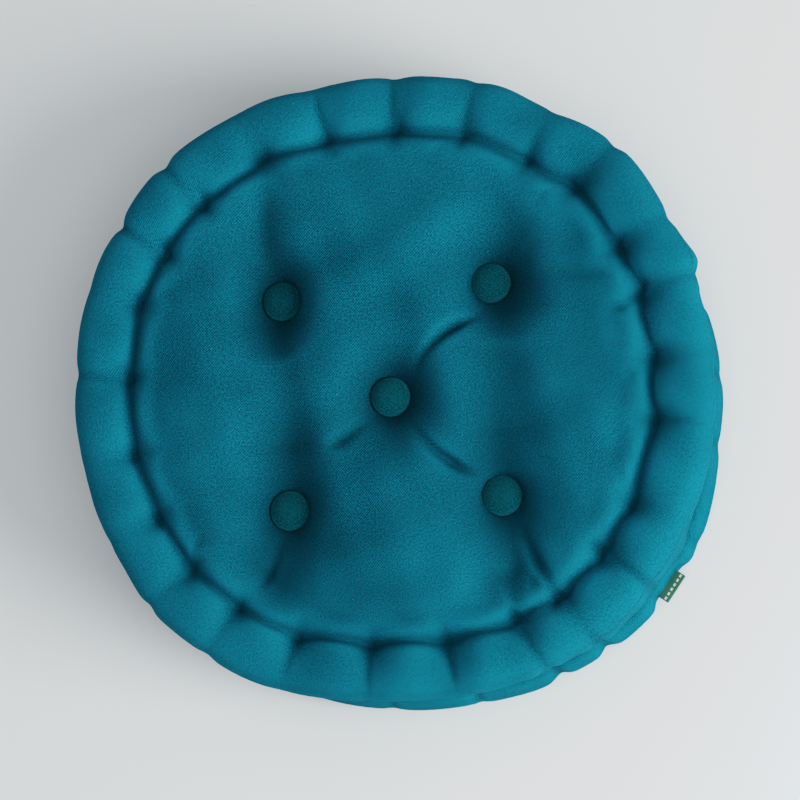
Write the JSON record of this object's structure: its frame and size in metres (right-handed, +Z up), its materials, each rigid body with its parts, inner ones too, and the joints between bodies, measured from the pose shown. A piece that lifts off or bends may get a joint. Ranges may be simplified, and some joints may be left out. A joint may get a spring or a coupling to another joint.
{
  "type": "floor cushion",
  "caption": "Round tufted floor cushion with a rolled, hand-tacked border, a stitched side wall, covered buttons on both faces and a folded side label.",
  "frame": {"origin": "middle of the underside, on the floor", "axes": "+Z up through the middle button; +X and +Y along the sides of the square of outer buttons; the label is near +X, -Y"},
  "size_m": [0.6, 0.6, 0.15],
  "materials": {
    "cover_cloth": "cotton twill, matt",
    "button_cloth": "cotton twill, matt",
    "thread": "sewing thread",
    "label_tape": "woven tape",
    "wadding": "cotton wadding",
    "twine": "hemp twine",
    "steel": "pressed and bent steel"
  },
  "bodies": {
    "cushion": {"top_panel": "cover_cloth", "side_band": "cover_cloth", "bottom_panel": "cover_cloth", "filling": "wadding", "top_seam_thread": "thread", "bottom_seam_thread": "thread", "top_edge_tacks": "thread", "bottom_edge_tacks": "thread", "closing_stitches": "thread", "label_tail": "label_tape", "twine_centre": "twine", "twine_front_left": "twine", "twine_front_right": "twine", "twine_back_left": "twine", "twine_back_right": "twine"},
    "label": {"label_flap": "label_tape"},
    "top_button_centre": {"top_button_centre_cover": "button_cloth", "top_button_centre_shell": "steel", "top_button_centre_back": "steel", "top_button_centre_loop": "steel"},
    "top_button_front_left": {"top_button_front_left_cover": "button_cloth", "top_button_front_left_shell": "steel", "top_button_front_left_back": "steel", "top_button_front_left_loop": "steel"},
    "top_button_front_right": {"top_button_front_right_cover": "button_cloth", "top_button_front_right_shell": "steel", "top_button_front_right_back": "steel", "top_button_front_right_loop": "steel"},
    "top_button_back_left": {"top_button_back_left_cover": "button_cloth", "top_button_back_left_shell": "steel", "top_button_back_left_back": "steel", "top_button_back_left_loop": "steel"},
    "top_button_back_right": {"top_button_back_right_cover": "button_cloth", "top_button_back_right_shell": "steel", "top_button_back_right_back": "steel", "top_button_back_right_loop": "steel"},
    "bottom_button_centre": {"bottom_button_centre_cover": "button_cloth", "bottom_button_centre_shell": "steel", "bottom_button_centre_back": "steel", "bottom_button_centre_loop": "steel"},
    "bottom_button_front_left": {"bottom_button_front_left_cover": "button_cloth", "bottom_button_front_left_shell": "steel", "bottom_button_front_left_back": "steel", "bottom_button_front_left_loop": "steel"},
    "bottom_button_front_right": {"bottom_button_front_right_cover": "button_cloth", "bottom_button_front_right_shell": "steel", "bottom_button_front_right_back": "steel", "bottom_button_front_right_loop": "steel"},
    "bottom_button_back_left": {"bottom_button_back_left_cover": "button_cloth", "bottom_button_back_left_shell": "steel", "bottom_button_back_left_back": "steel", "bottom_button_back_left_loop": "steel"},
    "bottom_button_back_right": {"bottom_button_back_right_cover": "button_cloth", "bottom_button_back_right_shell": "steel", "bottom_button_back_right_back": "steel", "bottom_button_back_right_loop": "steel"}
  },
  "joints": [
    {"name": "label_fold", "type": "hinge", "parent": "cushion", "child": "label", "pos_m": [0.23999, -0.18085, 0.023], "axis": [-0.6018, -0.7986, 0], "range_deg": [-70, 80], "stiffness_Nm_per_rad": 0.0005},
    {"name": "top_button_centre_swivel", "type": "hinge", "parent": "cushion", "child": "top_button_centre", "pos_m": [0, 0, 0.118], "axis": [0, 0, 1], "range_deg": [-45, 45], "stiffness_Nm_per_rad": 0.001},
    {"name": "top_button_front_left_swivel", "type": "hinge", "parent": "cushion", "child": "top_button_front_left", "pos_m": [-0.1, -0.1, 0.118], "axis": [0, 0, 1], "range_deg": [-45, 45], "stiffness_Nm_per_rad": 0.001},
    {"name": "top_button_front_right_swivel", "type": "hinge", "parent": "cushion", "child": "top_button_front_right", "pos_m": [0.1, -0.1, 0.118], "axis": [0, 0, 1], "range_deg": [-45, 45], "stiffness_Nm_per_rad": 0.001},
    {"name": "top_button_back_left_swivel", "type": "hinge", "parent": "cushion", "child": "top_button_back_left", "pos_m": [-0.1, 0.1, 0.118], "axis": [0, 0, 1], "range_deg": [-45, 45], "stiffness_Nm_per_rad": 0.001},
    {"name": "top_button_back_right_swivel", "type": "hinge", "parent": "cushion", "child": "top_button_back_right", "pos_m": [0.1, 0.1, 0.118], "axis": [0, 0, 1], "range_deg": [-45, 45], "stiffness_Nm_per_rad": 0.001},
    {"name": "bottom_button_centre_swivel", "type": "hinge", "parent": "cushion", "child": "bottom_button_centre", "pos_m": [0, 0, 0.032], "axis": [0, 0, -1], "range_deg": [-45, 45], "stiffness_Nm_per_rad": 0.001},
    {"name": "bottom_button_front_left_swivel", "type": "hinge", "parent": "cushion", "child": "bottom_button_front_left", "pos_m": [-0.1, -0.1, 0.032], "axis": [0, 0, -1], "range_deg": [-45, 45], "stiffness_Nm_per_rad": 0.001},
    {"name": "bottom_button_front_right_swivel", "type": "hinge", "parent": "cushion", "child": "bottom_button_front_right", "pos_m": [0.1, -0.1, 0.032], "axis": [0, 0, -1], "range_deg": [-45, 45], "stiffness_Nm_per_rad": 0.001},
    {"name": "bottom_button_back_left_swivel", "type": "hinge", "parent": "cushion", "child": "bottom_button_back_left", "pos_m": [-0.1, 0.1, 0.032], "axis": [0, 0, -1], "range_deg": [-45, 45], "stiffness_Nm_per_rad": 0.001},
    {"name": "bottom_button_back_right_swivel", "type": "hinge", "parent": "cushion", "child": "bottom_button_back_right", "pos_m": [0.1, 0.1, 0.032], "axis": [0, 0, -1], "range_deg": [-45, 45], "stiffness_Nm_per_rad": 0.001}
  ]
}
